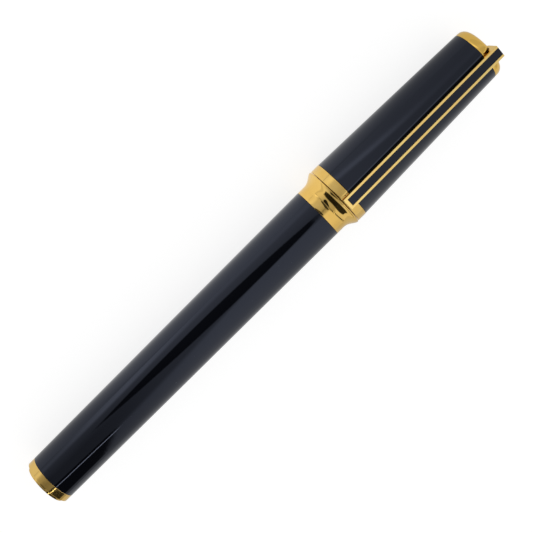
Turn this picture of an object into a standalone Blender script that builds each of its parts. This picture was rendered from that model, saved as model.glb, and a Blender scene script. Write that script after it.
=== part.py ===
"""Capped rollerball pen, lying along X: barrel end at x = 0, cap at +X, clip at +Z.

Every separate piece is its own object. All lengths in the code are in millimetres and
are turned into metres by MM when a mesh is made.
"""

import math

import bmesh
import bpy
from mathutils import Vector

MM = 0.001

# Roundness of the pieces (segments per turn).
N_OUTER = 44
N_INNER = 28
N_SMALL = 16

# Gaps between pieces.
FIXED_GAP = 0.03
THREAD_PITCH = 1.2

# Barrel.
BUTTON_R = 5.10
BUTTON_LENGTH = 0.60
END_RING_R = 5.87
END_EDGE = 0.12
BARREL_START = 2.50
BARREL_END = 85.60
BARREL_R_END = 5.89
BARREL_R_COLLAR = 6.28
BARREL_BULGE = 0.30
BARREL_BORE_R = 4.92
STUD_R = 1.50
STUD_END = 6.00
STUD_CLEARANCE = 0.05
RING_SPIGOT_END = 4.20
PLUG_START = 4.25
PLUG_POCKET_END = 6.60
PLUG_END = 8.00
PLUG_PIN_R = 1.90
PLUG_PIN_END = 9.40
SPRING_R = 2.40
SPRING_WIRE_R = 0.26
SPRING_END = 17.05
SPRING_TURNS = 7.0

# Collar and thread.
COLLAR_START = 80.60
COLLAR_END = 90.80
COLLAR_FLARE_START = 87.20
COLLAR_FLARE_END = 90.65
COLLAR_FLARE_POWER = 1.50
COLLAR_RIM_R = 7.62
COLLAR_BORE_R = 4.30
BUSH_START = 69.80
BUSH_END = 80.30
THREAD_MALE_ROOT = 3.66
THREAD_HEIGHT = 0.32
THREAD_CLEARANCE = 0.12
THREAD_START = 71.15
THREAD_ROWS_PER_TURN = 4
THREAD_COLUMNS = 20
BUSH_ROWS = 31
COUPLER_ROWS = 26

# Refill.
REFILL_START = 17.10
REFILL_R = 3.00
REFILL_BORE_R = 2.65
REFILL_TUBE_START = 18.0
REFILL_TUBE_END = 117.0
REFILL_PLUG_END = 20.50
FIBRE_START = 20.60
FIBRE_END = 108.0
FIBRE_R = 2.58
WICK_HOLE_R = 0.56
WICK_HOLE_START = 96.0
WICK_START = 96.10
WICK_END = 125.90
WICK_R = 0.50
REFILL_NOSE_START = 108.10
REFILL_NOSE_END = 123.40
FLANGE_START = 117.03
FLANGE_END = 118.58
TIP_SEAT_START = 121.60
TIP_SEAT_R = 0.86
BALL_R = 0.35
BALL_X = 127.30

# Writing section.
COUPLER_START = 71.0
COUPLER_END = 112.0
COUPLER_R = 3.60
COUPLER_BORE_R = 3.15
GRIP_START = 93.70
GRIP_END = 121.0
GRIP_R_BACK = 4.95
GRIP_R_FRONT = 4.20
GRIP_WAIST = 0.25
GRIP_SOCKET_R = 3.55
GRIP_STEP_X = 118.60
NOSE_START = 118.63
NOSE_END = 124.5
NOSE_MOUTH_R = 1.32
CATCH_R = 5.50
CATCH_GROOVE_R = 5.0
CATCH_GROOVE_START = 92.0
CATCH_GROOVE_END = 92.90
CATCH_END = 93.67
SEAL_X = 88.0
SEAL_R = 3.93
SEAL_WIRE_R = 0.28

# Cap.
LIP_START = 90.95
LIP_END = 93.20
LIP_R = 7.53
CAP_END = 134.72
CAP_R_LIP = 7.49
CAP_R_TOP = 6.29
CAP_BORE_LIP = 5.95
CAP_BORE_TOP = 5.35
INNER_CAP_START = 96.20
INNER_CAP_END = 130.0
CROWN_END = 137.16
CROWN_R = 6.26
CROWN_EDGE_R = 1.75
CROWN_SPIGOT_R = 5.30
CROWN_SPIGOT_START = 132.45
BLOCK_START = 130.12
BLOCK_END = 132.40
SNAP_START = 92.03
SNAP_END = 92.82
SNAP_R_IN = 5.35
SNAP_R_OUT = 6.15
SNAP_OPENING = math.radians(24)
LIP_SPIGOT_R = 6.68
LIP_SPIGOT_END = 96.05
LIP_BORE_R = 5.75
LIP_GROOVE_R = 6.25
PAD_START = 127.90
PAD_END = 129.0
PAD_R = 4.50
SCREW_Z = -3.0
SCREW_HEAD_END = 131.0
SCREW_END = 134.30
SCREW_R = 0.70
SCREW_HEAD_R = 1.40

# Clip.
PIVOT_X = 134.60
PIVOT_Z = 3.40
PIN_R = 0.50
PIN_HALF_LENGTH = 2.90
HUB_R = 1.05
CLIP_START = 91.00
CLIP_END = 138.05
CLIP_HALF_WIDTH = 1.50
CLIP_THICKNESS = 0.60
CLIP_Z_LIP = 8.26
CLIP_Z_TOP = 7.50
CLIP_FOOT_Z = 7.56
INLAY_START = 91.93
INLAY_HALF_WIDTH = 0.93
INLAY_DEPTH = 0.30
SLOT_HALF_WIDTH = 1.80
SLOT_FLOOR = 135.20


def clear_scene():
    """Remove the startup objects."""
    for obj in list(bpy.data.objects):
        bpy.data.objects.remove(obj, do_unlink=True)


def make_material(name, color, metallic, roughness):
    """A Principled material for one sub-part."""
    material = bpy.data.materials.new(name)
    material.use_nodes = True
    shader = material.node_tree.nodes["Principled BSDF"]
    shader.inputs["Base Color"].default_value = (color[0], color[1], color[2], 1.0)
    shader.inputs["Metallic"].default_value = metallic
    shader.inputs["Roughness"].default_value = roughness
    return material


FINISHES = {
    "gold": ((0.75, 0.46, 0.12), 1.0, 0.18),
    "lacquer": ((0.004, 0.004, 0.006), 0.0, 0.06),
    "inlay": ((0.008, 0.008, 0.012), 0.0, 0.15),
    "brass": ((0.60, 0.42, 0.16), 1.0, 0.30),
    "steel": ((0.55, 0.55, 0.56), 1.0, 0.25),
    "refill_metal": ((0.62, 0.63, 0.65), 1.0, 0.30),
    "plastic": ((0.05, 0.05, 0.055), 0.0, 0.40),
    "grip": ((0.006, 0.006, 0.008), 0.0, 0.12),
    "fibre": ((0.02, 0.03, 0.16), 0.0, 0.90),
    "rubber": ((0.015, 0.015, 0.015), 0.0, 0.75),
    "carbide": ((0.30, 0.30, 0.32), 1.0, 0.20),
    "seal": ((0.35, 0.35, 0.33), 0.0, 0.80),
}


def link_mesh(name, verts, faces, finish, origin):
    """Make a named object from points in millimetres, with its origin at `origin`."""
    moved = [(Vector(point) - Vector(origin)) * MM for point in verts]
    mesh = bpy.data.meshes.new(name)
    mesh.from_pydata(moved, [], faces)
    mesh.validate()
    work = bmesh.new()
    work.from_mesh(mesh)
    bmesh.ops.recalc_face_normals(work, faces=work.faces)
    work.to_mesh(mesh)
    work.free()
    mesh.shade_smooth()
    mesh.set_sharp_from_angle(angle=math.radians(32))
    obj = bpy.data.objects.new(name, mesh)
    obj.location = Vector(origin) * MM
    bpy.context.scene.collection.objects.link(obj)
    if finish:
        color, metallic, roughness = FINISHES[finish]
        mesh.materials.append(make_material(name + "_mat", color, metallic, roughness))
    return obj


def ring_points(x, radius, count, y=0.0, z=0.0, start=0.0):
    """Points of one circle around a line parallel to X."""
    points = []
    for step in range(count):
        angle = start + math.tau * step / count
        points.append((x, y + radius * math.cos(angle), z + radius * math.sin(angle)))
    return points


def revolve(name, profile, finish, count=N_INNER, y=0.0, z=0.0, origin=None):
    """Turn a closed (x, r) profile around X. Points with r = 0 become single poles."""
    verts = []
    rings = []
    for x, radius in profile:
        if radius == 0:
            rings.append([len(verts)])
            verts.append((x, y, z))
        else:
            rings.append(list(range(len(verts), len(verts) + count)))
            verts += ring_points(x, radius, count, y, z)
    faces = []
    for low, high in zip(rings, rings[1:] + rings[:1]):
        if len(low) == 1 and len(high) == 1:
            continue
        for step in range(count):
            after = (step + 1) % count
            if len(low) == 1:
                faces.append((low[0], high[after], high[step]))
            elif len(high) == 1:
                faces.append((low[step], low[after], high[0]))
            else:
                faces.append((low[step], low[after], high[after], high[step]))
    if origin is None:
        origin = (profile[0][0], y, z)
    return link_mesh(name, verts, faces, finish, origin)


def revolve_arc(name, profile, finish, count, opening, origin):
    """Turn a closed (x, r) profile part of the way round X and cap both ends."""
    verts = []
    size = len(profile)
    sweep = math.tau - opening
    for step in range(count + 1):
        angle = -math.pi / 2 + opening / 2 + sweep * step / count
        for x, radius in profile:
            verts.append((x, radius * math.cos(angle), radius * math.sin(angle)))
    faces = [tuple(range(size)), tuple(range(count * size, (count + 1) * size))]
    for step in range(count):
        for index in range(size):
            after = (index + 1) % size
            low = step * size
            high = low + size
            faces.append((low + index, low + after, high + after, high + index))
    return link_mesh(name, verts, faces, finish, origin)


def rounded(x0, r0, x1, r1, cx, cr, steps=4):
    """Points of an arc from (x0, r0) to (x1, r1) around the centre (cx, cr)."""
    start = math.atan2(r0 - cr, x0 - cx)
    stop = math.atan2(r1 - cr, x1 - cx)
    if stop - start > math.pi:
        stop -= math.tau
    if start - stop > math.pi:
        stop += math.tau
    radius = math.hypot(x0 - cx, r0 - cr)
    points = []
    for step in range(steps + 1):
        angle = start + (stop - start) * step / steps
        points.append((cx + radius * math.cos(angle), cr + radius * math.sin(angle)))
    return points


def prism(name, outline, half_width, finish, origin):
    """Extrude an (x, z) outline along Y, from -half_width to +half_width."""
    count = len(outline)
    verts = [(x, -half_width, z) for x, z in outline]
    verts += [(x, half_width, z) for x, z in outline]
    faces = [tuple(range(count)), tuple(range(2 * count - 1, count - 1, -1))]
    for index in range(count):
        after = (index + 1) % count
        faces.append((index, index + count, after + count, after))
    return link_mesh(name, verts, faces, finish, origin)


def cylinder_y(name, x, z, radius, half_length, finish, count=N_SMALL):
    """A round bar along Y."""
    verts = []
    for side in (-1, 1):
        for step in range(count):
            angle = math.tau * step / count
            height = side * half_length
            verts.append((x + radius * math.cos(angle), height, z + radius * math.sin(angle)))
    faces = [tuple(range(count)), tuple(range(count, 2 * count))]
    for step in range(count):
        after = (step + 1) % count
        faces.append((step, after, after + count, step + count))
    return link_mesh(name, verts, faces, finish, (x, 0.0, z))


def cut(target, cutter):
    """Subtract a hidden helper from a piece."""
    cutter.hide_render = True
    cutter.display_type = "WIRE"
    modifier = target.modifiers.new("cut_" + cutter.name, "BOOLEAN")
    modifier.operation = "DIFFERENCE"
    modifier.solver = "EXACT"
    modifier.object = cutter


def coil_spring(name, x0, x1, radius, wire, turns, finish, z=0.0, per_turn=12, sides=5):
    """A compression spring along X with closed end coils."""
    total = int(turns * per_turn)
    closed = 1.0
    verts = []
    for step in range(total + 1):
        turn = step / per_turn
        lead = 2.2 * wire
        if turn < closed:
            x = x0 + wire + lead * turn
        elif turn > turns - closed:
            x = x1 - wire - lead * (turns - turn)
        else:
            share = (turn - closed) / (turns - 2 * closed)
            x = x0 + wire + lead + share * (x1 - x0 - 2 * wire - 2 * lead)
        angle = math.tau * turn
        for side in range(sides):
            around = math.tau * side / sides
            distance = radius + wire * math.cos(around)
            verts.append(
                (
                    x + wire * math.sin(around),
                    distance * math.cos(angle),
                    z + distance * math.sin(angle),
                )
            )
    faces = [tuple(range(sides)), tuple(range(total * sides, (total + 1) * sides))]
    for step in range(total):
        for side in range(sides):
            after = (side + 1) % sides
            low = step * sides
            high = low + sides
            faces.append((low + side, low + after, high + after, high + side))
    return link_mesh(name, verts, faces, finish, (x0, 0.0, z))


def thread_level(row, column, rows, phase):
    """How far the thread is formed at a lattice point: 0 at its ends, 1 in the middle."""
    per_turn = THREAD_ROWS_PER_TURN
    turn = row / per_turn + column / THREAD_COLUMNS
    last = (rows - 1) / per_turn + (THREAD_COLUMNS - 1) / THREAD_COLUMNS
    level = min((turn - 1.0) / 0.5, (last - 1.0 - turn) / 0.5, 1.0)
    formed = 1.0 if row % per_turn in phase else 0.0
    return max(level, 0.0) * formed


def thread_lattice(verts, faces, x_start, rows, base_radius, height, phase):
    """Add a helical skin around X and give back its first and last rows and columns."""
    columns = THREAD_COLUMNS
    per_turn = THREAD_ROWS_PER_TURN
    grid = []
    for column in range(columns):
        angle = math.tau * column / columns
        line = []
        for row in range(rows):
            x = x_start + THREAD_PITCH * (row / per_turn + column / columns)
            radius = base_radius + height * thread_level(row, column, rows, phase)
            line.append(len(verts))
            verts.append((x, radius * math.cos(angle), radius * math.sin(angle)))
        grid.append(line)
    for column in range(columns - 1):
        here = grid[column]
        there = grid[column + 1]
        for row in range(rows - 1):
            faces.append((here[row], there[row], there[row + 1], here[row + 1]))
    here = grid[columns - 1]
    there = grid[0]
    for row in range(rows - 1 - per_turn):
        after = row + per_turn
        faces.append((here[row], there[after], there[after + 1], here[row + 1]))
    return grid


def close_lattice(faces, grid, ring, at_start):
    """Join a plain ring of points to the stepped end of a helical skin."""
    columns = THREAD_COLUMNS
    per_turn = THREAD_ROWS_PER_TURN
    edge = 0 if at_start else -1
    for column in range(columns - 1):
        faces.append((ring[column], ring[column + 1], grid[column + 1][edge], grid[column][edge]))
    if at_start:
        lane = grid[0][: per_turn + 1]
        faces.append([ring[columns - 1], ring[0]] + lane + [grid[columns - 1][0]])
    else:
        lane = grid[columns - 1][-1 - per_turn :]
        faces.append([ring[0], ring[columns - 1]] + lane[::-1] + [grid[0][-1]])


def join_rings(faces, low, high):
    """Quads between two rings of the same count."""
    count = len(low)
    for step in range(count):
        after = (step + 1) % count
        faces.append((low[step], low[after], high[after], high[step]))


def add_ring(verts, x, radius, count):
    """Add a circle of points and give back their numbers."""
    start = len(verts)
    verts += ring_points(x, radius, count)
    return list(range(start, start + count))


def threaded_tube(name, inside, x_start, rows, base_radius, height, phase, ends, finish):
    """A tube with a thread on one side. `ends` lists (x, r) of the plain side, in order."""
    verts = []
    faces = []
    grid = thread_lattice(verts, faces, x_start, rows, base_radius, height, phase)
    first_x, last_x = inside
    first = add_ring(verts, first_x, base_radius, THREAD_COLUMNS)
    last = add_ring(verts, last_x, base_radius, THREAD_COLUMNS)
    close_lattice(faces, grid, first, True)
    close_lattice(faces, grid, last, False)
    ring = first
    for x, radius in ends:
        following = add_ring(verts, x, radius, THREAD_COLUMNS)
        join_rings(faces, ring, following)
        ring = following
    join_rings(faces, ring, last)
    return link_mesh(name, verts, faces, finish, (first_x, 0.0, 0.0))


def barrel_radius(x):
    """Outside radius of the barrel: a taper with a very slight swell."""
    share = (x - BARREL_START) / (BARREL_END - BARREL_START)
    swell = share + BARREL_BULGE * share * (1.0 - share)
    return BARREL_R_END + (BARREL_R_COLLAR - BARREL_R_END) * swell


def build_barrel():
    """Barrel shell, its end fittings, collar and thread bush."""
    steps = 5
    outer = []
    for step in range(steps + 1):
        x = BARREL_START + (BARREL_END - BARREL_START) * step / steps
        outer.append((x, barrel_radius(x)))
    profile = outer + [(BARREL_END, BARREL_BORE_R), (BARREL_START, BARREL_BORE_R)]
    revolve("barrel_shell", profile, "lacquer", N_OUTER, origin=(BARREL_START, 0, 0))

    edge = END_EDGE
    button = [(0.0, 0.0), (0.0, BUTTON_R - edge), (edge, BUTTON_R), (BUTTON_LENGTH, BUTTON_R)]
    button += [(BUTTON_LENGTH, STUD_R), (STUD_END, STUD_R), (STUD_END, 0.0)]
    revolve("barrel_end_button", button, "gold", N_OUTER, origin=(0, 0, 0))

    start = BUTTON_LENGTH + FIXED_GAP
    stop = BARREL_START - FIXED_GAP
    bore = STUD_R + STUD_CLEARANCE
    spigot = BARREL_BORE_R - FIXED_GAP
    ring = [(start, bore), (start, END_RING_R - 0.2), (start + 0.06, END_RING_R - 0.06)]
    ring += [(start + 0.2, END_RING_R), (stop - 0.08, END_RING_R), (stop, END_RING_R - 0.08)]
    ring += [(stop, spigot), (RING_SPIGOT_END, spigot), (RING_SPIGOT_END, bore)]
    revolve("barrel_end_ring", ring, "gold", N_OUTER, origin=(start, 0, 0))

    plug = [(PLUG_START, bore), (PLUG_START, spigot), (PLUG_END, spigot), (PLUG_END, PLUG_PIN_R)]
    plug += [(PLUG_PIN_END, PLUG_PIN_R), (PLUG_PIN_END, 0.0), (PLUG_POCKET_END, 0.0)]
    plug += [(PLUG_POCKET_END, bore)]
    revolve("barrel_end_plug", plug, "brass", N_INNER, origin=(PLUG_START, 0, 0))

    coil_spring(
        "refill_spring", PLUG_END + FIXED_GAP, SPRING_END, SPRING_R, SPRING_WIRE_R, SPRING_TURNS, "steel"
    )

    build_collar()
    bush_r = BARREL_BORE_R - STUD_CLEARANCE
    threaded_tube(
        "barrel_thread_bush",
        (BUSH_START, BUSH_END),
        THREAD_START - THREAD_PITCH,
        BUSH_ROWS,
        THREAD_MALE_ROOT + THREAD_HEIGHT + THREAD_CLEARANCE,
        -THREAD_HEIGHT,
        (0, 1),
        [(BUSH_START, bush_r), (BUSH_END, bush_r)],
        "brass",
    )


def collar_radius(share):
    """Outside radius of the collar's flare: an S curve from the barrel to the rim."""
    eased = share**COLLAR_FLARE_POWER
    rise = eased * eased * (3.0 - 2.0 * eased)
    return BARREL_R_COLLAR + (COLLAR_RIM_R - BARREL_R_COLLAR) * rise


def build_collar():
    """Gold collar that flares out to meet the cap lip, with a spigot inside the barrel."""
    start = BARREL_END + 0.02
    flare = []
    steps = 7
    for step in range(1, steps + 1):
        share = step / steps
        x = COLLAR_FLARE_START + (COLLAR_FLARE_END - COLLAR_FLARE_START) * share
        flare.append((x, collar_radius(share)))
    spigot = BARREL_BORE_R - FIXED_GAP
    profile = [(COLLAR_START, COLLAR_BORE_R), (COLLAR_START, spigot), (start, spigot)]
    profile += [(start, BARREL_R_COLLAR), (COLLAR_FLARE_START, BARREL_R_COLLAR)]
    profile += flare
    profile += [(COLLAR_END - 0.10, COLLAR_RIM_R), (COLLAR_END, COLLAR_RIM_R - 0.10)]
    profile += [(COLLAR_END, COLLAR_BORE_R)]
    revolve("barrel_collar", profile, "gold", N_OUTER, origin=(COLLAR_START, 0, 0))


def build_refill():
    """Rollerball refill: tube, end plug, ink fibre, wick, nose, tip and ball."""
    start = REFILL_TUBE_START
    tube = [(start, REFILL_BORE_R), (start, REFILL_R), (REFILL_TUBE_END, REFILL_R)]
    tube += [(REFILL_TUBE_END, REFILL_BORE_R)]
    revolve("refill_tube", tube, "refill_metal", N_INNER)

    inner = REFILL_BORE_R - FIXED_GAP
    head_r = REFILL_R - 0.05
    head_end = start - FIXED_GAP
    plug = [(REFILL_START, 0.0), (REFILL_START, head_r - 0.15), (REFILL_START + 0.15, head_r)]
    plug += [(head_end, head_r), (head_end, inner), (REFILL_PLUG_END, inner)]
    plug += [(REFILL_PLUG_END, 0.0)]
    revolve("refill_end_plug", plug, "plastic", N_INNER, origin=(REFILL_START, 0, 0))

    fibre = [(FIBRE_START, 0.0), (FIBRE_START, FIBRE_R), (FIBRE_END, FIBRE_R)]
    fibre += [(FIBRE_END, WICK_HOLE_R), (WICK_HOLE_START, WICK_HOLE_R), (WICK_HOLE_START, 0.0)]
    revolve("refill_fibre", fibre, "fibre", N_SMALL, origin=(FIBRE_START, 0, 0))

    wick = [(WICK_START, 0.0), (WICK_START, WICK_R), (WICK_END, WICK_R), (WICK_END, 0.0)]
    revolve("refill_wick", wick, "fibre", 12, origin=(WICK_START, 0, 0))

    nose = [(REFILL_NOSE_START, WICK_HOLE_R), (REFILL_NOSE_START, inner), (FLANGE_START, inner)]
    nose += [(FLANGE_START, REFILL_R), (FLANGE_END, REFILL_R), (FLANGE_END, 2.20)]
    nose += [(121.50, 2.00), (REFILL_NOSE_END, 1.20), (REFILL_NOSE_END, TIP_SEAT_R)]
    nose += [(TIP_SEAT_START, TIP_SEAT_R), (TIP_SEAT_START, WICK_HOLE_R)]
    revolve("refill_nose", nose, "plastic", N_INNER, origin=(REFILL_NOSE_START, 0, 0))
    build_tip()


def build_tip():
    """Metal writing tip that holds the ball in a socket fed by the wick."""
    socket = BALL_R + 0.03
    tip = [(121.65, 0.54), (121.65, 0.83), (123.43, 0.83), (123.43, 1.15), (124.60, 1.15)]
    tip += [(126.20, 0.66), (127.30, 0.46), (127.42, 0.38), (127.42, 0.345)]
    tip += [(127.30, socket), (127.0, socket), (127.0, 0.20), (126.00, 0.20), (126.00, 0.54)]
    revolve("refill_tip", tip, "refill_metal", N_SMALL, origin=(121.65, 0, 0))

    ball = [(BALL_X - BALL_R, 0.0)]
    for step in range(1, 8):
        angle = math.pi * step / 8
        x = BALL_X - BALL_R * math.cos(angle)
        ball.append((x, BALL_R * math.sin(angle)))
    ball.append((BALL_X + BALL_R, 0.0))
    revolve("refill_ball", ball, "carbide", 16, origin=(BALL_X, 0, 0))


def build_section():
    """Writing section: threaded coupler, catch ring, grip, nose cone and seal."""
    plain = [(COUPLER_START, COUPLER_BORE_R), (COUPLER_END, COUPLER_BORE_R)]
    plain += [(COUPLER_END, COUPLER_R), (80.10, COUPLER_R)]
    threaded_tube(
        "section_coupler",
        (COUPLER_START, 79.95),
        THREAD_START,
        COUPLER_ROWS,
        THREAD_MALE_ROOT,
        THREAD_HEIGHT,
        (2, 3),
        plain,
        "brass",
    )

    bore = COUPLER_R + FIXED_GAP
    catch = [(LIP_START, bore), (LIP_START, CATCH_R - 0.1), (LIP_START + 0.1, CATCH_R)]
    catch += [(CATCH_GROOVE_START, CATCH_R), (CATCH_GROOVE_START, CATCH_GROOVE_R)]
    catch += [(CATCH_GROOVE_END, CATCH_GROOVE_R), (CATCH_GROOVE_END + 0.15, CATCH_R - 0.2)]
    catch += [(CATCH_END - 0.17, CATCH_R - 0.2), (CATCH_END, CATCH_R - 0.4), (CATCH_END, bore)]
    revolve("section_catch_ring", catch, "gold", N_INNER, origin=(LIP_START, 0, 0))

    grip = [(GRIP_START, bore), (GRIP_START, GRIP_R_BACK)]
    steps = 5
    for step in range(1, steps + 1):
        share = step / steps
        x = GRIP_START + (GRIP_END - GRIP_START) * share
        waist = GRIP_WAIST * math.sin(math.pi * share)
        grip.append((x, GRIP_R_BACK + (GRIP_R_FRONT - GRIP_R_BACK) * share - waist))
    grip += [(GRIP_END, GRIP_SOCKET_R), (GRIP_STEP_X, GRIP_SOCKET_R)]
    grip += [(GRIP_STEP_X, COUPLER_BORE_R), (COUPLER_END + 0.05, COUPLER_BORE_R)]
    grip += [(COUPLER_END + 0.05, bore)]
    revolve("grip_sleeve", grip, "grip", N_INNER, origin=(GRIP_START, 0, 0))

    socket = GRIP_SOCKET_R - 0.04
    shoulder = GRIP_END + FIXED_GAP
    cone = [(NOSE_START, 2.40), (NOSE_START, socket), (shoulder, socket)]
    cone += [(shoulder, GRIP_R_FRONT), (121.40, GRIP_R_FRONT), (122.60, 3.45), (123.80, 2.60)]
    cone += [(NOSE_END - 0.1, 2.15), (NOSE_END, 1.95), (NOSE_END, NOSE_MOUTH_R)]
    cone += [(NOSE_END - 0.6, NOSE_MOUTH_R), (121.80, 2.40)]
    revolve("nose_cone", cone, "gold", N_INNER, origin=(NOSE_START, 0, 0))

    seal = []
    for step in range(6):
        angle = math.tau * step / 6
        x = SEAL_X + SEAL_WIRE_R * math.cos(angle)
        seal.append((x, SEAL_R + SEAL_WIRE_R * math.sin(angle)))
    revolve("section_seal_ring", seal, "rubber", N_INNER, origin=(88.0, 0, 0))


def build_snap_ring():
    """Split spring ring held in the cap lip, which clicks behind the catch ring."""
    profile = [(SNAP_START, SNAP_R_IN), (SNAP_END, SNAP_R_IN)]
    profile += [(SNAP_END, SNAP_R_OUT), (SNAP_START, SNAP_R_OUT)]
    revolve_arc("cap_snap_ring", profile, "steel", 30, SNAP_OPENING, (SNAP_START, 0, 0))


def cap_outer(x):
    """Outside radius of the cap shell."""
    share = (x - LIP_END) / (CAP_END - LIP_END)
    return CAP_R_LIP + (CAP_R_TOP - CAP_R_LIP) * share


def cap_bore(x):
    """Inside radius of the cap shell behind the lip spigot."""
    share = min((x - INNER_CAP_START) / (INNER_CAP_END - INNER_CAP_START), 1.0)
    return CAP_BORE_LIP + (CAP_BORE_TOP - CAP_BORE_LIP) * share


def build_cap():
    """Cap shell with its lip ring, inner cap, seal, head block, screw and crown."""
    start = LIP_END + 0.02
    seat = LIP_SPIGOT_R + 0.04
    stop = LIP_SPIGOT_END + 0.05
    profile = [(start, seat), (start, cap_outer(start)), (CAP_END, CAP_R_TOP)]
    profile += [(CAP_END, CAP_BORE_TOP), (INNER_CAP_END, CAP_BORE_TOP)]
    profile += [(stop, CAP_BORE_LIP), (stop, seat)]
    revolve("cap_shell", profile, "lacquer", N_OUTER, origin=(start, 0, 0))

    back = LIP_END - 0.02
    lip = [(LIP_START, LIP_BORE_R + 0.1), (LIP_START, LIP_R - 0.12), (LIP_START + 0.12, LIP_R)]
    lip += [(back - 0.10, LIP_R), (back, LIP_R - 0.10), (back, LIP_SPIGOT_R)]
    lip += [(LIP_SPIGOT_END, LIP_SPIGOT_R), (LIP_SPIGOT_END, LIP_BORE_R)]
    lip += [(SNAP_END + 0.13, LIP_BORE_R), (SNAP_END + 0.13, LIP_GROOVE_R)]
    lip += [(SNAP_START - 0.13, LIP_GROOVE_R), (SNAP_START - 0.13, LIP_BORE_R)]
    lip += [(LIP_START + 0.1, LIP_BORE_R)]
    revolve("cap_lip_ring", lip, "gold", N_OUTER, origin=(LIP_START, 0, 0))

    shift = FIXED_GAP
    floor = PAD_END + 0.05
    inner = [(INNER_CAP_START, CAP_BORE_LIP - 0.50), (INNER_CAP_START, CAP_BORE_LIP - shift)]
    inner += [(INNER_CAP_END, CAP_BORE_TOP - shift), (INNER_CAP_END, 0.0)]
    inner += [(floor, 0.0), (floor, PAD_R + 0.18)]
    revolve("inner_cap", inner, "plastic", N_INNER, origin=(INNER_CAP_START, 0, 0))

    pad = [(PAD_START, 0.0), (PAD_START, PAD_R), (PAD_END, PAD_R), (PAD_END, 0.0)]
    revolve("cap_seal_pad", pad, "seal", N_SMALL, origin=(PAD_START, 0, 0))

    build_head_block()
    build_crown()


def build_head_block():
    """Brass block in the cap head with the screw that pulls the crown down."""
    radius = CAP_BORE_TOP - 0.05
    block = [(BLOCK_START, 0.0), (BLOCK_START, radius), (BLOCK_END, radius)]
    block += [(BLOCK_END, 1.20), (131.20, 1.20), (131.20, 0.0)]
    head_block = revolve("cap_head_block", block, "brass", N_INNER, origin=(BLOCK_START, 0, 0))
    seat = SCREW_HEAD_END + 0.05
    hole = [(129.0, 0.0), (129.0, SCREW_HEAD_R + 0.05), (seat, SCREW_HEAD_R + 0.05)]
    hole += [(seat, SCREW_R + 0.05), (133.0, SCREW_R + 0.05), (133.0, 0.0)]
    cut(head_block, revolve("screw_hole_cutter", hole, None, 16, z=SCREW_Z))

    screw = [(BLOCK_START + 0.04, 0.0), (BLOCK_START + 0.04, SCREW_HEAD_R)]
    screw += [(SCREW_HEAD_END, SCREW_HEAD_R), (SCREW_HEAD_END, SCREW_R)]
    screw += [(SCREW_END, SCREW_R), (SCREW_END, 0.0)]
    revolve("crown_screw", screw, "steel", 16, z=SCREW_Z)


def build_crown():
    """Gold crown with a rounded edge, a slot for the clip arm and a pocket for its tail."""
    under = CAP_END + 0.02
    edge = CROWN_EDGE_R
    centre = (CROWN_END - edge, CROWN_R - edge)
    profile = [(CROWN_SPIGOT_START, 0.0), (CROWN_SPIGOT_START, CROWN_SPIGOT_R)]
    profile += [(under, CROWN_SPIGOT_R), (under, CROWN_R - 0.06), (under + 0.06, CROWN_R)]
    profile += rounded(centre[0], CROWN_R, CROWN_END, centre[1], *centre)
    profile += [(CROWN_END, 0.0)]
    crown = revolve("cap_crown", profile, "gold", N_OUTER, origin=(CROWN_SPIGOT_START, 0, 0))

    hollow = [(132.0, -1.70), (135.35, -1.70), (135.35, 2.20), (138.0, 2.20)]
    hollow += [(138.0, 7.50), (SLOT_FLOOR, 7.50), (SLOT_FLOOR, 4.65), (132.0, 4.65)]
    cut(crown, prism("crown_slot_cutter", hollow, SLOT_HALF_WIDTH, None, (135, 0, 3)))
    cutter = cylinder_y(
        "crown_pin_cutter", PIVOT_X, PIVOT_Z, PIN_R + 0.03, PIN_HALF_LENGTH + 0.05, None
    )
    cut(crown, cutter)
    depth = SCREW_END + 0.10
    hole = [(132.0, 0.0), (132.0, SCREW_R + 0.05), (depth, SCREW_R + 0.05), (depth, 0.0)]
    cut(crown, revolve("crown_hole_cutter", hole, None, 16, z=SCREW_Z))

    cylinder_y("clip_pivot_pin", PIVOT_X, PIVOT_Z, PIN_R, PIN_HALF_LENGTH, "steel")
    coil_spring("clip_spring", 131.23, 133.66, 0.85, 0.15, 4.0, "steel", per_turn=10)


def clip_z(x, depth=0.0):
    """Height of the clip's outer face at x, or of a line `depth` below it."""
    share = (x - CLIP_START) / (CLIP_END - CLIP_START)
    return CLIP_Z_LIP + (CLIP_Z_TOP - CLIP_Z_LIP) * share - depth


def clip_outline():
    """Side view of the clip as (x, z): bar, foot, arm, hub and tail."""
    outline = [(CLIP_START, clip_z(CLIP_START)), (CLIP_END, clip_z(CLIP_END))]
    outline += [(137.50, 3.95), (137.0, 3.35), (136.2, 2.9)]
    for step in range(5):
        angle = math.radians(-40 - 12 * step)
        outline.append((PIVOT_X + HUB_R * math.cos(angle), PIVOT_Z + HUB_R * math.sin(angle)))
    outline += [(134.90, 2.0), (134.90, -1.20), (133.72, -1.20), (133.72, 2.75)]
    for step in range(6):
        angle = math.radians(200 - 24 * step)
        outline.append((PIVOT_X + HUB_R * math.cos(angle), PIVOT_Z + HUB_R * math.sin(angle)))
    outline += [(136.20, 4.70), (136.25, 6.60), (135.95, clip_z(135.95, CLIP_THICKNESS))]
    outline += [(93.60, clip_z(93.60, CLIP_THICKNESS)), (93.15, CLIP_FOOT_Z)]
    outline.append((CLIP_START, CLIP_FOOT_Z))
    return outline


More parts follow.
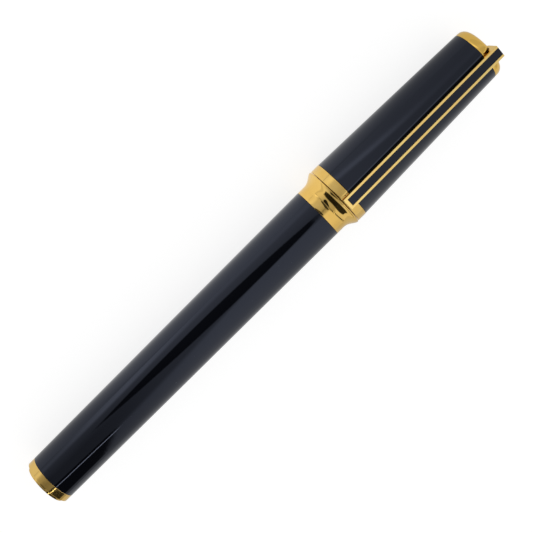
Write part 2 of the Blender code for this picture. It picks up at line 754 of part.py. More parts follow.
def build_clip():
    """Straight channel clip on a pivot pin, with a flush inlay."""
    pivot = (PIVOT_X, 0.0, PIVOT_Z)
    frame = prism("clip_frame", clip_outline(), CLIP_HALF_WIDTH, "gold", pivot)
    stop = CLIP_END + 1.0
    channel = [(INLAY_START, clip_z(INLAY_START, INLAY_DEPTH))]
    channel += [(stop, clip_z(stop, INLAY_DEPTH)), (stop, 9.0), (INLAY_START, 9.0)]
    cut(frame, prism("inlay_cutter", channel, INLAY_HALF_WIDTH, None, pivot))
    bore = cylinder_y("clip_bore_cutter", PIVOT_X, PIVOT_Z, PIN_R + 0.06, 3.0, None)
    cut(frame, bore)

    first = INLAY_START + 0.03
    last = CLIP_END - 0.03
    depth = INLAY_DEPTH - 0.03
    strip = [(first, clip_z(first, depth)), (last, clip_z(last, depth))]
    strip += [(last, clip_z(last)), (first, clip_z(first))]
    prism("clip_inlay", strip, INLAY_HALF_WIDTH - 0.03, "inlay", pivot)


def main():
    clear_scene()
    build_barrel()
    build_refill()
    build_section()
    build_snap_ring()
    build_cap()
    build_clip()


main()
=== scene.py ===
"""Looks of the capped rollerball pen: fine surfaces, materials, light and camera.

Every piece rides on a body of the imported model. Lengths in the shape code are millimetres.
"""
import math

import bmesh
import bpy
from mathutils import Matrix, Vector


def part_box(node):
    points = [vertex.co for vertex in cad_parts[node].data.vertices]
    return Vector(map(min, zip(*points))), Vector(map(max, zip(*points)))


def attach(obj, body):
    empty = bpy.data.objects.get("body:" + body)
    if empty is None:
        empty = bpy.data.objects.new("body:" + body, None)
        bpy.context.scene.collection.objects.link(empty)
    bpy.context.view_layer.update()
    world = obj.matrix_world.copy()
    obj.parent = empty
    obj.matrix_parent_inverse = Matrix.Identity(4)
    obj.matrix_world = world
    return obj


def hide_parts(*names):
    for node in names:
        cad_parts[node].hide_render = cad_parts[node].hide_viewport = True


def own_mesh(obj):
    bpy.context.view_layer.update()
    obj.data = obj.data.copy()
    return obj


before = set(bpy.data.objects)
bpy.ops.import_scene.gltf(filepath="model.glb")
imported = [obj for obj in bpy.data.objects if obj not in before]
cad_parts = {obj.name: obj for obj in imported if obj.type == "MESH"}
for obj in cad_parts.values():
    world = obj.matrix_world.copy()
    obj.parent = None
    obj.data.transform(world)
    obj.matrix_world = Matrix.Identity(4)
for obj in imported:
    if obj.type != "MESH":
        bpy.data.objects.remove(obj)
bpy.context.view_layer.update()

MM = 0.001
SEGMENTS = 192

# Camera: seen from above, with the clip turned a little away and the barrel end drooping.
CLIP_TURN = math.radians(24.1)
DROOP = math.radians(1.07)
ROLL = math.radians(44.883)
CAMERA_DISTANCE = 275.6
LENS = 83.75
AIM_X = 69.23
AIM_ACROSS = 0.36
FLOOR_Z = -8.35

TO_CAMERA = Vector(
    (
        math.sin(DROOP),
        math.cos(DROOP) * math.sin(CLIP_TURN),
        math.cos(DROOP) * math.cos(CLIP_TURN),
    )
)
ALONG = (Vector((1, 0, 0)) - TO_CAMERA * TO_CAMERA.x).normalized()
ACROSS = ALONG.cross(TO_CAMERA).normalized()


# ---------------------------------------------------------------- shape helpers


def span(node):
    """(first x, last x, largest radius from the pen's axis) of a CAD node, in millimetres."""
    low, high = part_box(node)
    return low.x / MM, high.x / MM, max(high.y, -low.y, high.z, -low.z) / MM


def round_corner(before, corner, after, size, steps):
    """Points of an arc that rounds one corner of an outline."""
    into = Vector(before) - Vector(corner)
    out = Vector(after) - Vector(corner)
    reach = min(size, 0.49 * into.length, 0.49 * out.length)
    into.normalize()
    out.normalize()
    start = Vector(corner) + into * reach
    stop = Vector(corner) + out * reach
    points = []
    for step in range(steps + 1):
        share = step / steps
        near = start.lerp(Vector(corner), share)
        far = Vector(corner).lerp(stop, share)
        points.append(tuple(near.lerp(far, share)))
    return points


def rounded_outline(points, steps=5, closed=True):
    """An outline of (a, b) or (a, b, size) points with its sized corners rounded."""
    flat = [(point[0], point[1]) for point in points]
    result = []
    count = len(points)
    for index, point in enumerate(points):
        size = point[2] if len(point) > 2 else 0.0
        inside = closed or 0 < index < count - 1
        if size > 0 and inside:
            before = flat[index - 1]
            after = flat[(index + 1) % count]
            result += round_corner(before, flat[index], after, size, steps)
        else:
            result.append(flat[index])
    return result


def finish_mesh(name, verts, faces, body, nodes, material, sharp=40.0, weighted=True):
    """Make the object in metres, shade it, and tie it to its body and CAD nodes."""
    mesh = bpy.data.meshes.new(name)
    mesh.from_pydata([Vector(point) * MM for point in verts], [], faces)
    mesh.validate()
    work = bmesh.new()
    work.from_mesh(mesh)
    bmesh.ops.recalc_face_normals(work, faces=work.faces)
    work.to_mesh(mesh)
    work.free()
    mesh.shade_smooth()
    mesh.set_sharp_from_angle(angle=math.radians(sharp))
    mesh.materials.append(material)
    piece = bpy.data.objects.new(name, mesh)
    bpy.context.scene.collection.objects.link(piece)
    if weighted:
        add_weighted_normals(piece)
    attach(piece, body)
    if nodes:
        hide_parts(*nodes)
    return piece


def add_weighted_normals(piece):
    modifier = piece.modifiers.new("weighted", "WEIGHTED_NORMAL")
    modifier.mode = "FACE_AREA"
    modifier.weight = 50
    modifier.keep_sharp = True


def circle(x, radius, count, y, z):
    """A ring of points around a line along X."""
    points = []
    for step in range(count):
        angle = math.tau * step / count
        points.append((x, y + radius * math.cos(angle), z + radius * math.sin(angle)))
    return points


def turned(name, outline, body, material, node=None, count=SEGMENTS, z=0.0, steps=5):
    """Turn a closed (x, r, corner size) outline around a line along X."""
    profile = rounded_outline(outline, steps)
    verts = []
    rings = []
    for x, radius in profile:
        if radius < 1e-6:
            rings.append([len(verts)])
            verts.append((x, 0.0, z))
        else:
            rings.append(list(range(len(verts), len(verts) + count)))
            verts += circle(x, radius, count, 0.0, z)
    faces = []
    for low, high in zip(rings, rings[1:] + rings[:1]):
        if len(low) == 1 and len(high) == 1:
            continue
        for step in range(count):
            after = (step + 1) % count
            if len(low) == 1:
                faces.append((low[0], high[after], high[step]))
            elif len(high) == 1:
                faces.append((low[step], low[after], high[0]))
            else:
                faces.append((low[step], low[after], high[after], high[step]))
    return finish_mesh(name, verts, faces, body, [node or name], material)


def coil(name, x0, x1, radius, wire, turns, body, material, per_turn=40, sides=14):
    """A compression spring along X with closed end coils."""
    total = int(turns * per_turn)
    lead = 2.2 * wire
    verts = []
    for step in range(total + 1):
        turn = step / per_turn
        if turn < 1.0:
            x = x0 + wire + lead * turn
        elif turn > turns - 1.0:
            x = x1 - wire - lead * (turns - turn)
        else:
            share = (turn - 1.0) / (turns - 2.0)
            x = x0 + wire + lead + share * (x1 - x0 - 2 * wire - 2 * lead)
        angle = math.tau * turn
        for side in range(sides):
            around = math.tau * side / sides
            distance = radius + wire * math.cos(around)
            height = x + wire * math.sin(around)
            verts.append((height, distance * math.cos(angle), distance * math.sin(angle)))
    faces = [tuple(range(sides)), tuple(range(total * sides, (total + 1) * sides))]
    for step in range(total):
        for side in range(sides):
            after = (side + 1) % sides
            low = step * sides
            high = low + sides
            faces.append((low + side, low + after, high + after, high + side))
    return finish_mesh(name, verts, faces, body, [name], material, weighted=False)


def plate(name, outline, half_width, body, nodes, material):
    """Extrude an (x, z) outline along Y on both sides of the middle plane."""
    count = len(outline)
    verts = [(x, -half_width, z) for x, z in outline]
    verts += [(x, half_width, z) for x, z in outline]
    faces = [tuple(range(count)), tuple(range(2 * count - 1, count - 1, -1))]
    for index in range(count):
        after = (index + 1) % count
        faces.append((index, index + count, after + count, after))
    if body:
        return finish_mesh(name, verts, faces, body, nodes, material)
    return helper_mesh(name, verts, faces)


def helper_mesh(name, verts, faces):
    """A cutter: used by a Boolean and then removed."""
    mesh = bpy.data.meshes.new(name)
    mesh.from_pydata([Vector(point) * MM for point in verts], [], faces)
    work = bmesh.new()
    work.from_mesh(mesh)
    bmesh.ops.recalc_face_normals(work, faces=work.faces)
    work.to_mesh(mesh)
    work.free()
    cutter = bpy.data.objects.new(name, mesh)
    bpy.context.scene.collection.objects.link(cutter)
    return cutter


def rod_y(name, x, z, radius, half_length, count=48):
    """A round cutter along Y."""
    verts = []
    for side in (-1, 1):
        for step in range(count):
            angle = math.tau * step / count
            height = side * half_length
            verts.append((x + radius * math.cos(angle), height, z + radius * math.sin(angle)))
    faces = [tuple(range(count)), tuple(range(count, 2 * count))]
    for step in range(count):
        after = (step + 1) % count
        faces.append((step, after, after + count, step + count))
    return helper_mesh(name, verts, faces)


def rod_x(name, x0, x1, radius, z, count=48):
    """A round cutter along X."""
    verts = circle(x0, radius, count, 0.0, z) + circle(x1, radius, count, 0.0, z)
    faces = [tuple(range(count)), tuple(range(count, 2 * count))]
    for step in range(count):
        after = (step + 1) % count
        faces.append((step, after, after + count, step + count))
    return helper_mesh(name, verts, faces)


def carve(piece, cutters, bevel=0.0, bevel_steps=3):
    """Cut the helpers out of a piece, round its new edges, and remove the helpers."""
    for modifier in list(piece.modifiers):
        piece.modifiers.remove(modifier)
    for cutter in cutters:
        modifier = piece.modifiers.new("cut", "BOOLEAN")
        modifier.operation = "DIFFERENCE"
        modifier.solver = "EXACT"
        modifier.object = cutter
        modifier.material_mode = "TRANSFER"
    if bevel:
        modifier = piece.modifiers.new("edge", "BEVEL")
        modifier.width = bevel * MM
        modifier.segments = bevel_steps
        modifier.limit_method = "ANGLE"
        modifier.angle_limit = math.radians(35)
        modifier.harden_normals = False
        modifier.use_clamp_overlap = True
    graph = bpy.context.evaluated_depsgraph_get()
    made = bpy.data.meshes.new_from_object(piece.evaluated_get(graph))
    piece.modifiers.clear()
    piece.data = made
    made.shade_smooth()
    made.set_sharp_from_angle(angle=math.radians(38))
    add_weighted_normals(piece)
    for cutter in cutters:
        bpy.data.objects.remove(cutter, do_unlink=True)
    return piece


# ---------------------------------------------------------------- node helpers


class Graph:
    """Short names for the shader nodes that the materials use."""

    def __init__(self, tree):
        self.tree = tree

    def put(self, socket, value):
        if hasattr(value, "node"):
            self.tree.links.new(value, socket)
        else:
            socket.default_value = value

    def math(self, operation, first, second=0.0):
        node = self.tree.nodes.new("ShaderNodeMath")
        node.operation = operation
        self.put(node.inputs[0], first)
        self.put(node.inputs[1], second)
        return node.outputs[0]

    def add(self, first, second):
        return self.math("ADD", first, second)

    def sub(self, first, second):
        return self.math("SUBTRACT", first, second)

    def mul(self, first, second):
        return self.math("MULTIPLY", first, second)

    def step_up(self, value, low, high):
        """0 below low, 1 above high, smooth between."""
        node = self.tree.nodes.new("ShaderNodeMapRange")
        node.interpolation_type = "SMOOTHSTEP"
        self.put(node.inputs["Value"], value)
        self.put(node.inputs["From Min"], low)
        self.put(node.inputs["From Max"], high)
        return node.outputs["Result"]

    def step_down(self, value, low, high):
        """1 below low, 0 above high, smooth between."""
        return self.step_up(self.mul(value, -1.0), -high, -low)

    def remap(self, value, low, high, to_low, to_high):
        """A straight rise or fall between two places, level outside them."""
        node = self.tree.nodes.new("ShaderNodeMapRange")
        self.put(node.inputs["Value"], value)
        self.put(node.inputs["From Min"], low)
        self.put(node.inputs["From Max"], high)
        self.put(node.inputs["To Min"], to_low)
        self.put(node.inputs["To Max"], to_high)
        return node.outputs["Result"]

    def dot(self, first, second):
        node = self.tree.nodes.new("ShaderNodeVectorMath")
        node.operation = "DOT_PRODUCT"
        self.put(node.inputs[0], first)
        self.put(node.inputs[1], second)
        return node.outputs["Value"]

    def scaled(self, vector, scale):
        node = self.tree.nodes.new("ShaderNodeVectorMath")
        node.operation = "MULTIPLY"
        self.put(node.inputs[0], vector)
        self.put(node.inputs[1], scale)
        return node.outputs["Vector"]

    def noise(self, vector, scale, detail=3.0, rough=0.5):
        node = self.tree.nodes.new("ShaderNodeTexNoise")
        self.put(node.inputs["Vector"], vector)
        node.inputs["Scale"].default_value = scale
        node.inputs["Detail"].default_value = detail
        node.inputs["Roughness"].default_value = rough
        return node.outputs["Fac"]

    def cells(self, vector, scale):
        node = self.tree.nodes.new("ShaderNodeTexVoronoi")
        self.put(node.inputs["Vector"], vector)
        node.inputs["Scale"].default_value = scale
        return node.outputs["Distance"], node.outputs["Color"]

    def mix(self, share, first, second):
        node = self.tree.nodes.new("ShaderNodeMix")
        node.data_type = "RGBA"
        self.put(node.inputs["Factor"], share)
        self.put(node.inputs["A"], first)
        self.put(node.inputs["B"], second)
        return node.outputs["Result"]

    def bump(self, height, strength, distance, normal=None):
        node = self.tree.nodes.new("ShaderNodeBump")
        node.inputs["Strength"].default_value = strength
        node.inputs["Distance"].default_value = distance
        self.put(node.inputs["Height"], height)
        if normal is not None:
            self.put(node.inputs["Normal"], normal)
        return node.outputs["Normal"]

    def leveled_normal(self, tilt):
        """The surface normal with its lean along the pen reduced, for a crisp band on a round."""
        facing = self.tree.nodes.new("ShaderNodeNewGeometry").outputs["Normal"]
        node = self.tree.nodes.new("ShaderNodeVectorMath")
        node.operation = "NORMALIZE"
        self.put(node.inputs[0], self.scaled(facing, (tilt, 1.0, 1.0)))
        return node.outputs["Vector"]


def new_material(name):
    """A Principled material, with its graph and the object's coordinates in millimetres."""
    material = bpy.data.materials.new(name)
    material.use_nodes = True
    tree = material.node_tree
    graph = Graph(tree)
    shader = tree.nodes["Principled BSDF"]
    coordinates = tree.nodes.new("ShaderNodeTexCoord").outputs["Object"]
    place = graph.scaled(coordinates, (1000.0, 1000.0, 1000.0))
    return material, graph, shader, place


def rgb(red, green, blue):
    return (red, green, blue, 1.0)


def lacquer(name, tint=(0.66, 0.74, 1.0), index=1.56, dust=1.0):
    """Deep black lacquer: mirror gloss, faint orange peel, a few grains of dust."""
    material, graph, shader, place = new_material(name)
    soft = graph.noise(place, 0.35, 2.0)
    distance, shade = graph.cells(place, 0.42)
    pick = graph.dot(shade, (0.6, 0.3, 0.1))
    grain = graph.mul(
        graph.step_down(distance, 0.02, 0.045),
        graph.step_up(pick, 0.60, 0.66),
    )
    grain = graph.mul(grain, dust)
    fine_distance, fine_shade = graph.cells(place, 1.3)
    fine = graph.mul(
        graph.step_down(fine_distance, 0.02, 0.06),
        graph.step_up(graph.dot(fine_shade, (0.3, 0.3, 0.4)), 0.62, 0.70),
    )
    grain = graph.math("MAXIMUM", grain, graph.mul(fine, 0.25 * dust))
    graph.put(
        shader.inputs["Base Color"],
        graph.mix(graph.mul(grain, 0.5), rgb(0.0012, 0.0014, 0.0024), rgb(0.22, 0.23, 0.26)),
    )
    rough = graph.remap(soft, 0.3, 0.7, 0.025, 0.05)
    graph.put(shader.inputs["Roughness"], graph.add(rough, graph.mul(grain, 0.4)))
    shader.inputs["IOR"].default_value = index
    shader.inputs["Specular Tint"].default_value = rgb(*tint)
    peel = graph.noise(place, 1.1, 2.0)
    graph.put(shader.inputs["Normal"], graph.bump(peel, 0.12, 0.00001))
    return material


def gold(
    name,
    rough=0.055,
    wear=1.0,
    warm=(0.78, 0.50, 0.130),
    pale=(0.84, 0.57, 0.175),
    paint_wall_shade=False,
    level=False,
):
    """Polished gold plating: slow colour drift, fine wipe marks and pin-point pits, and optional
    painted reflection on the clip's side walls.
    """
    material, graph, shader, place = new_material(name)
    drift = graph.noise(place, 0.22, 3.0)
    base = graph.mix(graph.step_up(drift, 0.35, 0.68), rgb(*warm), rgb(*pale))
    distance, shade = graph.cells(place, 1.5)
    pit = graph.mul(
        graph.step_down(distance, 0.03, 0.10),
        graph.step_up(graph.dot(shade, (0.5, 0.2, 0.3)), 0.60, 0.70),
    )
    pit = graph.mul(pit, wear)
    base = graph.mix(graph.mul(pit, 0.30), base, rgb(0.30, 0.17, 0.05))
    if paint_wall_shade:
        outward = graph.tree.nodes.new("ShaderNodeTexCoord").outputs["Normal"]
        sideways = graph.math("ABSOLUTE", graph.dot(outward, (0.0, 1.0, 0.0)))
        # Painted reflection and shade: up to the hinge, the clip's side walls get a dark brown
        # base colour for the black cap that they mirror.
        beside_cap = graph.step_down(graph.dot(place, (1.0, 0.0, 0.0)), 133.4, 134.6)
        painted_wall_shade = graph.mul(graph.step_up(sideways, 0.80, 0.98), beside_cap)
        base = graph.mix(painted_wall_shade, base, rgb(0.26, 0.16, 0.06))
    graph.put(shader.inputs["Base Color"], base)
    shader.inputs["Metallic"].default_value = 1.0
    wipes = graph.noise(graph.scaled(place, (0.5, 9.0, 9.0)), 1.0, 4.0, 0.6)
    gloss = graph.remap(wipes, 0.3, 0.7, rough * 0.7, rough * 1.5)
    graph.put(shader.inputs["Roughness"], graph.add(gloss, graph.mul(pit, 0.15)))
    ripple = graph.noise(place, 0.9, 2.0)
    facing = graph.leveled_normal(0.05) if level else None
    normal = graph.bump(ripple, 0.18, 0.00002, facing)
    graph.put(shader.inputs["Normal"], graph.bump(wipes, 0.05 * wear, 0.00001, normal))
    return material


def metal(name, base, rough, lines=(40.0, 0.6, 0.6), strength=0.12):
    """Turned or drawn metal with fine tool lines."""
    material, graph, shader, place = new_material(name)
    marks = graph.noise(graph.scaled(place, lines), 1.0, 4.0, 0.65)
    cloud = graph.noise(place, 0.6, 3.0)
    dark = rgb(*[channel * 0.78 for channel in base])
    graph.put(shader.inputs["Base Color"], graph.mix(cloud, dark, rgb(*base)))
    shader.inputs["Metallic"].default_value = 1.0
    graph.put(
        shader.inputs["Roughness"], graph.remap(marks, 0.25, 0.75, rough * 0.7, rough * 1.35)
    )
    graph.put(shader.inputs["Normal"], graph.bump(marks, strength, 0.00002))
    return material


def moulded(name, base, rough, grain=2.5, strength=0.15, sheen=0.0):
    """Moulded plastic or rubber with a fine spark-eroded grain."""
    material, graph, shader, place = new_material(name)
    fine = graph.noise(place, grain, 5.0, 0.6)
    broad = graph.noise(place, 0.3, 2.0)
    light = rgb(*[min(channel * 1.35 + 0.004, 1.0) for channel in base])
    graph.put(shader.inputs["Base Color"], graph.mix(broad, rgb(*base), light))
    graph.put(
        shader.inputs["Roughness"], graph.remap(fine, 0.3, 0.7, rough * 0.8, min(rough * 1.2, 1))
    )
    shader.inputs["Sheen Weight"].default_value = sheen
    graph.put(shader.inputs["Normal"], graph.bump(fine, strength, 0.00003))
    return material


def fibre(name):
    """Bonded ink fibre: long strands, darker where the ink has soaked in."""
    material, graph, shader, place = new_material(name)
    strands = graph.noise(graph.scaled(place, (0.25, 12.0, 12.0)), 1.0, 5.0, 0.7)
    soak = graph.noise(place, 0.12, 2.0)
    ink = graph.mix(soak, rgb(0.006, 0.008, 0.06), rgb(0.02, 0.03, 0.16))
    graph.put(
        shader.inputs["Base Color"],
        graph.mix(graph.mul(strands, 0.35), ink, rgb(0.10, 0.12, 0.30)),
    )
    shader.inputs["Roughness"].default_value = 0.9
    graph.put(shader.inputs["Normal"], graph.bump(strands, 0.5, 0.00005))
    return material


LACQUER = lacquer("black_lacquer")
INLAY = lacquer("black_inlay", index=1.50, dust=0.4)
GRIP = lacquer("grip_resin", tint=(0.8, 0.85, 1.0), dust=0.5)
GOLD = gold("gold_plate")
# Painted light: the clip's gold is a brighter copy of the plating, so that the clip looks more
# lit; its side walls carry painted reflection.
GOLD_CLIP_PAINTED_LIGHT = gold(
    "gold_clip_painted_light", 0.10, 0.7, warm=(1.0, 0.69, 0.23), pale=(1.0, 0.74, 0.26), paint_wall_shade=True
)
GOLD_END = gold("gold_end", 0.07, level=True)
GOLD_CROWN = gold("gold_crown", warm=(0.93, 0.58, 0.125), pale=(0.96, 0.62, 0.145))
# Painted shade: a near-black metal for the faces cut by the crown's slot, darker than the crown's
# gold.
SLOT_SHADE_METAL = metal("slot_painted_shade", (0.10, 0.065, 0.03), 0.35)
BRASS = metal("turned_brass", (0.72, 0.50, 0.20), 0.26)
STEEL = metal("drawn_steel", (0.60, 0.60, 0.62), 0.24, (4.0, 12.0, 12.0))
NICKEL = metal("nickel_tube", (0.66, 0.66, 0.68), 0.22, (0.5, 16.0, 16.0))
TIP_METAL = metal("tip_metal", (0.72, 0.70, 0.66), 0.18, (60.0, 1.0, 1.0))
CARBIDE = metal("ball_carbide", (0.40, 0.40, 0.43), 0.15, (8.0, 8.0, 8.0), 0.05)
PLASTIC = moulded("refill_plastic", (0.028, 0.028, 0.032), 0.38)
LINER = moulded("cap_liner", (0.10, 0.10, 0.105), 0.45)
RUBBER = moulded("seal_rubber", (0.012, 0.012, 0.013), 0.75, 4.0, 0.3, 0.1)
PAD = moulded("seal_pad", (0.30, 0.30, 0.28), 0.85, 6.0, 0.4, 0.2)
FIBRE = fibre("ink_fibre")


# ---------------------------------------------------------------- barrel

BARREL_R_END = 5.89
BARREL_R_COLLAR = 6.28
BARREL_BULGE = 0.30


def barrel_radius(share):
    swell = share + BARREL_BULGE * share * (1.0 - share)
    return BARREL_R_END + (BARREL_R_COLLAR - BARREL_R_END) * swell


def build_barrel():
    x0, x1, _ = span("barrel_shell")
    outline = []
    steps = 28
    for step in range(steps + 1):
        share = step / steps
        size = 0.07 if step in (0, steps) else 0.0
        outline.append((x0 + (x1 - x0) * share, barrel_radius(share), size))
    outline += [(x1, 4.92, 0.05), (x0, 4.92, 0.05)]
    turned("barrel_shell", outline, "barrel", LACQUER, steps=3)

    x0, x1, radius = span("barrel_end_button")
    face = 0.60
    outline = [(x0, 0.0), (x0, radius - 0.12), (x0, radius, 0.13), (face, radius, 0.05)]
    outline += [(face, 1.50, 0.1), (x1 - 0.3, 1.50), (x1, 1.20), (x1, 0.0)]
    turned("barrel_end_button", outline, "barrel", GOLD_END)

    x0, x1, radius = span("barrel_end_ring")
    back = 2.47
    outline = [(x0, 1.55), (x0, radius, 0.22), (back, radius, 0.08), (back, 4.89)]
    outline += [(x1, 4.89, 0.2), (x1, 1.55)]
    turned("barrel_end_ring", outline, "barrel", GOLD_END)

    x0, x1, radius = span("barrel_end_plug")
    seat = 8.0
    outline = [(x0, 1.55), (x0, radius, 0.2), (5.2, radius), (5.35, radius - 0.25)]
    outline += [(5.7, radius - 0.25), (5.85, radius), (seat, radius, 0.2), (seat, 1.90)]
    outline += [(x1, 1.90, 0.35), (x1, 0.0), (6.6, 0.0), (6.6, 1.55)]
    turned("barrel_end_plug", outline, "barrel", BRASS, count=96)

    x0, x1, _ = span("refill_spring")
    coil("refill_spring", x0, x1, 2.40, 0.26, 7.0, "barrel", STEEL)


COLLAR_FLARE_START = 87.20
COLLAR_FLARE_END = 90.65
COLLAR_FLARE_POWER = 1.50


def build_collar():
    x0, x1, rim = span("barrel_collar")
    start = span("barrel_shell")[1] + 0.02
    outline = [(x0, 4.30, 0.15), (x0, 4.89, 0.2), (82.0, 4.89), (82.15, 4.62), (82.6, 4.62)]
    outline += [(82.75, 4.89), (start, 4.89), (start, BARREL_R_COLLAR, 0.07)]
    outline.append((start + 0.5, BARREL_R_COLLAR))
    outline.append((COLLAR_FLARE_START - 0.25, BARREL_R_COLLAR))
    outline.append((COLLAR_FLARE_START, BARREL_R_COLLAR))
    steps = 30
    for step in range(1, steps + 1):
        share = step / steps
        x = COLLAR_FLARE_START + (COLLAR_FLARE_END - COLLAR_FLARE_START) * share
        eased = share**COLLAR_FLARE_POWER
        rise = eased * eased * (3.0 - 2.0 * eased)
        outline.append((x, BARREL_R_COLLAR + (rim - BARREL_R_COLLAR) * rise))
    outline += [(x1 - 0.09, rim, 0.05), (x1, rim - 0.10, 0.04), (x1, 4.30, 0.15)]
    turned("barrel_collar", outline, "barrel", GOLD, steps=4)


THREAD_PITCH = 1.2
THREAD_START = 71.15
THREAD_ROOT = 3.66
THREAD_HEIGHT = 0.32
THREAD_CLEARANCE = 0.12


def thread_height(turn, last, shift):
    """Height share of the thread's ridge at a place counted in turns."""
    phase = (turn + shift) % 1.0
    ridge = min((phase - 0.25) / 0.25, (1.0 - phase) / 0.25, 1.0)
    level = min((turn - 1.0) / 0.5, (last - 1.0 - turn) / 0.5, 1.0)
    return max(ridge, 0.0) * max(level, 0.0)


def threaded(name, x_start, turns, root, height, shift, plain, body, material):
    """A tube with a fine helical thread on one side and a plain other side."""
    columns = 96
    per_turn = 16
    rows = int(turns * per_turn) + 1
    last = (rows - 1) / per_turn + (columns - 1) / columns
    verts = []
    faces = []
    grid = []
    for column in range(columns):
        angle = math.tau * column / columns
        line = []
        for row in range(rows):
            turn = row / per_turn + column / columns
            radius = root + height * thread_height(turn, last, shift)
            line.append(len(verts))
            x = x_start + THREAD_PITCH * turn
            verts.append((x, radius * math.cos(angle), radius * math.sin(angle)))
        grid.append(line)
    for column in range(columns - 1):
        here, there = grid[column], grid[column + 1]
        for row in range(rows - 1):
            faces.append((here[row], there[row], there[row + 1], here[row + 1]))
    here, there = grid[-1], grid[0]
    for row in range(rows - 1 - per_turn):
        after = row + per_turn
        faces.append((here[row], there[after], there[after + 1], here[row + 1]))
    rings = []
    for x, radius in plain:
        rings.append(list(range(len(verts), len(verts) + columns)))
        verts += circle(x, radius, columns, 0.0, 0.0)
    first, final = rings[0], rings[-1]
    for column in range(columns - 1):
        faces.append((first[column], first[column + 1], grid[column + 1][0], grid[column][0]))
        faces.append((final[column], final[column + 1], grid[column + 1][-1], grid[column][-1]))
    faces.append([first[-1], first[0]] + grid[0][: per_turn + 1] + [grid[-1][0]])
    faces.append([final[0], final[-1]] + grid[-1][-1 - per_turn :][::-1] + [grid[0][-1]])
    for low, high in zip(rings, rings[1:]):
        for step in range(columns):
            after = (step + 1) % columns
            faces.append((low[step], low[after], high[after], high[step]))
    return finish_mesh(name, verts, faces, body, [name], material, 50.0, False)


def build_threads():
    x0, x1, radius = span("barrel_thread_bush")
    root = THREAD_ROOT + THREAD_HEIGHT + THREAD_CLEARANCE
    plain = [(x0, root), (x0, radius - 0.15), (x0 + 0.15, radius), (x1 - 0.15, radius)]
    plain += [(x1, radius - 0.15), (x1, root)]
    start = THREAD_START - THREAD_PITCH
    threaded(
        "barrel_thread_bush", start, 7.5, root, -THREAD_HEIGHT, 0.5, plain,
        "barrel", BRASS,
    )

    x0, x1, _ = span("section_coupler")
    plain = [(x0, THREAD_ROOT), (x0, 3.25), (x0 + 0.1, 3.15), (x1 - 0.1, 3.15), (x1, 3.25)]
    plain += [(x1, 3.50), (x1 - 0.1, 3.60), (80.10, 3.60), (79.95, THREAD_ROOT)]
    threaded(
        "section_coupler", THREAD_START, 6.25, THREAD_ROOT, THREAD_HEIGHT, 0.0, plain,
        "section", BRASS,
    )


# ---------------------------------------------------------------- refill and section


def build_refill():
    x0, x1, radius = span("refill_tube")
    outline = [(x0, 2.65, 0.08), (x0, radius, 0.12), (58.0, radius), (58.2, radius - 0.06)]
    outline += [(58.6, radius - 0.06), (58.8, radius), (x1 - 3.2, radius)]
    outline += [(x1 - 3.0, radius - 0.08), (x1 - 2.6, radius - 0.08), (x1 - 2.4, radius)]
    outline += [(x1, radius, 0.1), (x1, 2.65, 0.05)]
    turned("refill_tube", outline, "refill", NICKEL, count=128)

    x0, x1, radius = span("refill_end_plug")
    lip = 17.97
    outline = [(x0 + 0.5, 0.0), (x0 + 0.5, 1.2, 0.1), (x0, 1.5, 0.1), (x0, radius, 0.25)]
    outline += [(lip, radius, 0.05), (lip, 2.62), (x1 - 0.3, 2.62), (x1, 2.4), (x1, 0.0)]
    turned("refill_end_plug", outline, "refill", PLASTIC, count=96)

    x0, x1, radius = span("refill_fibre")
    hole = 96.0
    outline = [(x0, 0.0), (x0, radius, 0.3), (x1, radius, 0.3), (x1, 0.56)]
    outline += [(hole, 0.56), (hole, 0.0)]
    turned("refill_fibre", outline, "refill", FIBRE, count=64)

    x0, x1, radius = span("refill_wick")
    outline = [(x0, 0.0), (x0, radius, 0.1), (x1 - 0.4, radius), (x1, 0.2), (x1, 0.0)]
    turned("refill_wick", outline, "refill", FIBRE, count=32)

    x0, x1, _ = span("refill_nose")
    flange, stop = 117.03, 118.58
    outline = [(x0, 0.56), (x0, 2.62, 0.2), (flange, 2.62), (flange, 3.0, 0.08)]
    outline += [(stop, 3.0, 0.12), (stop, 2.20, 0.1), (121.3, 2.02, 0.3), (122.6, 1.50, 0.4)]
    outline += [(x1, 1.20, 0.08), (x1, 0.86), (121.6, 0.86), (121.6, 0.56)]
    turned("refill_nose", outline, "refill", PLASTIC, count=96)
    build_tip()


def build_tip():
    x0, x1, radius = span("refill_tip")
    outline = [(x0, 0.54), (x0, 0.83, 0.1), (123.43, 0.83), (123.43, radius, 0.12)]
    outline += [(124.60, radius, 0.25), (124.75, 0.98, 0.1), (125.9, 0.80, 0.2)]
    outline += [(126.1, 0.62, 0.08), (127.15, 0.47, 0.2), (x1, 0.37, 0.03), (x1, 0.342)]
    outline += [(127.36, 0.365), (127.30, 0.378), (127.10, 0.36), (127.0, 0.20)]
    outline += [(126.0, 0.20), (126.0, 0.54)]
    turned("refill_tip", outline, "refill", TIP_METAL, count=96, steps=4)

    low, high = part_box("refill_ball")
    centre = (low.x + high.x) / 2 / MM
    size = (high.x - low.x) / 2 / MM
    outline = [(centre - size, 0.0)]
    steps = 28
    for step in range(1, steps):
        angle = math.pi * step / steps
        outline.append((centre - size * math.cos(angle), size * math.sin(angle)))
    outline.append((centre + size, 0.0))
    turned("refill_ball", outline, "ball", CARBIDE, count=48)


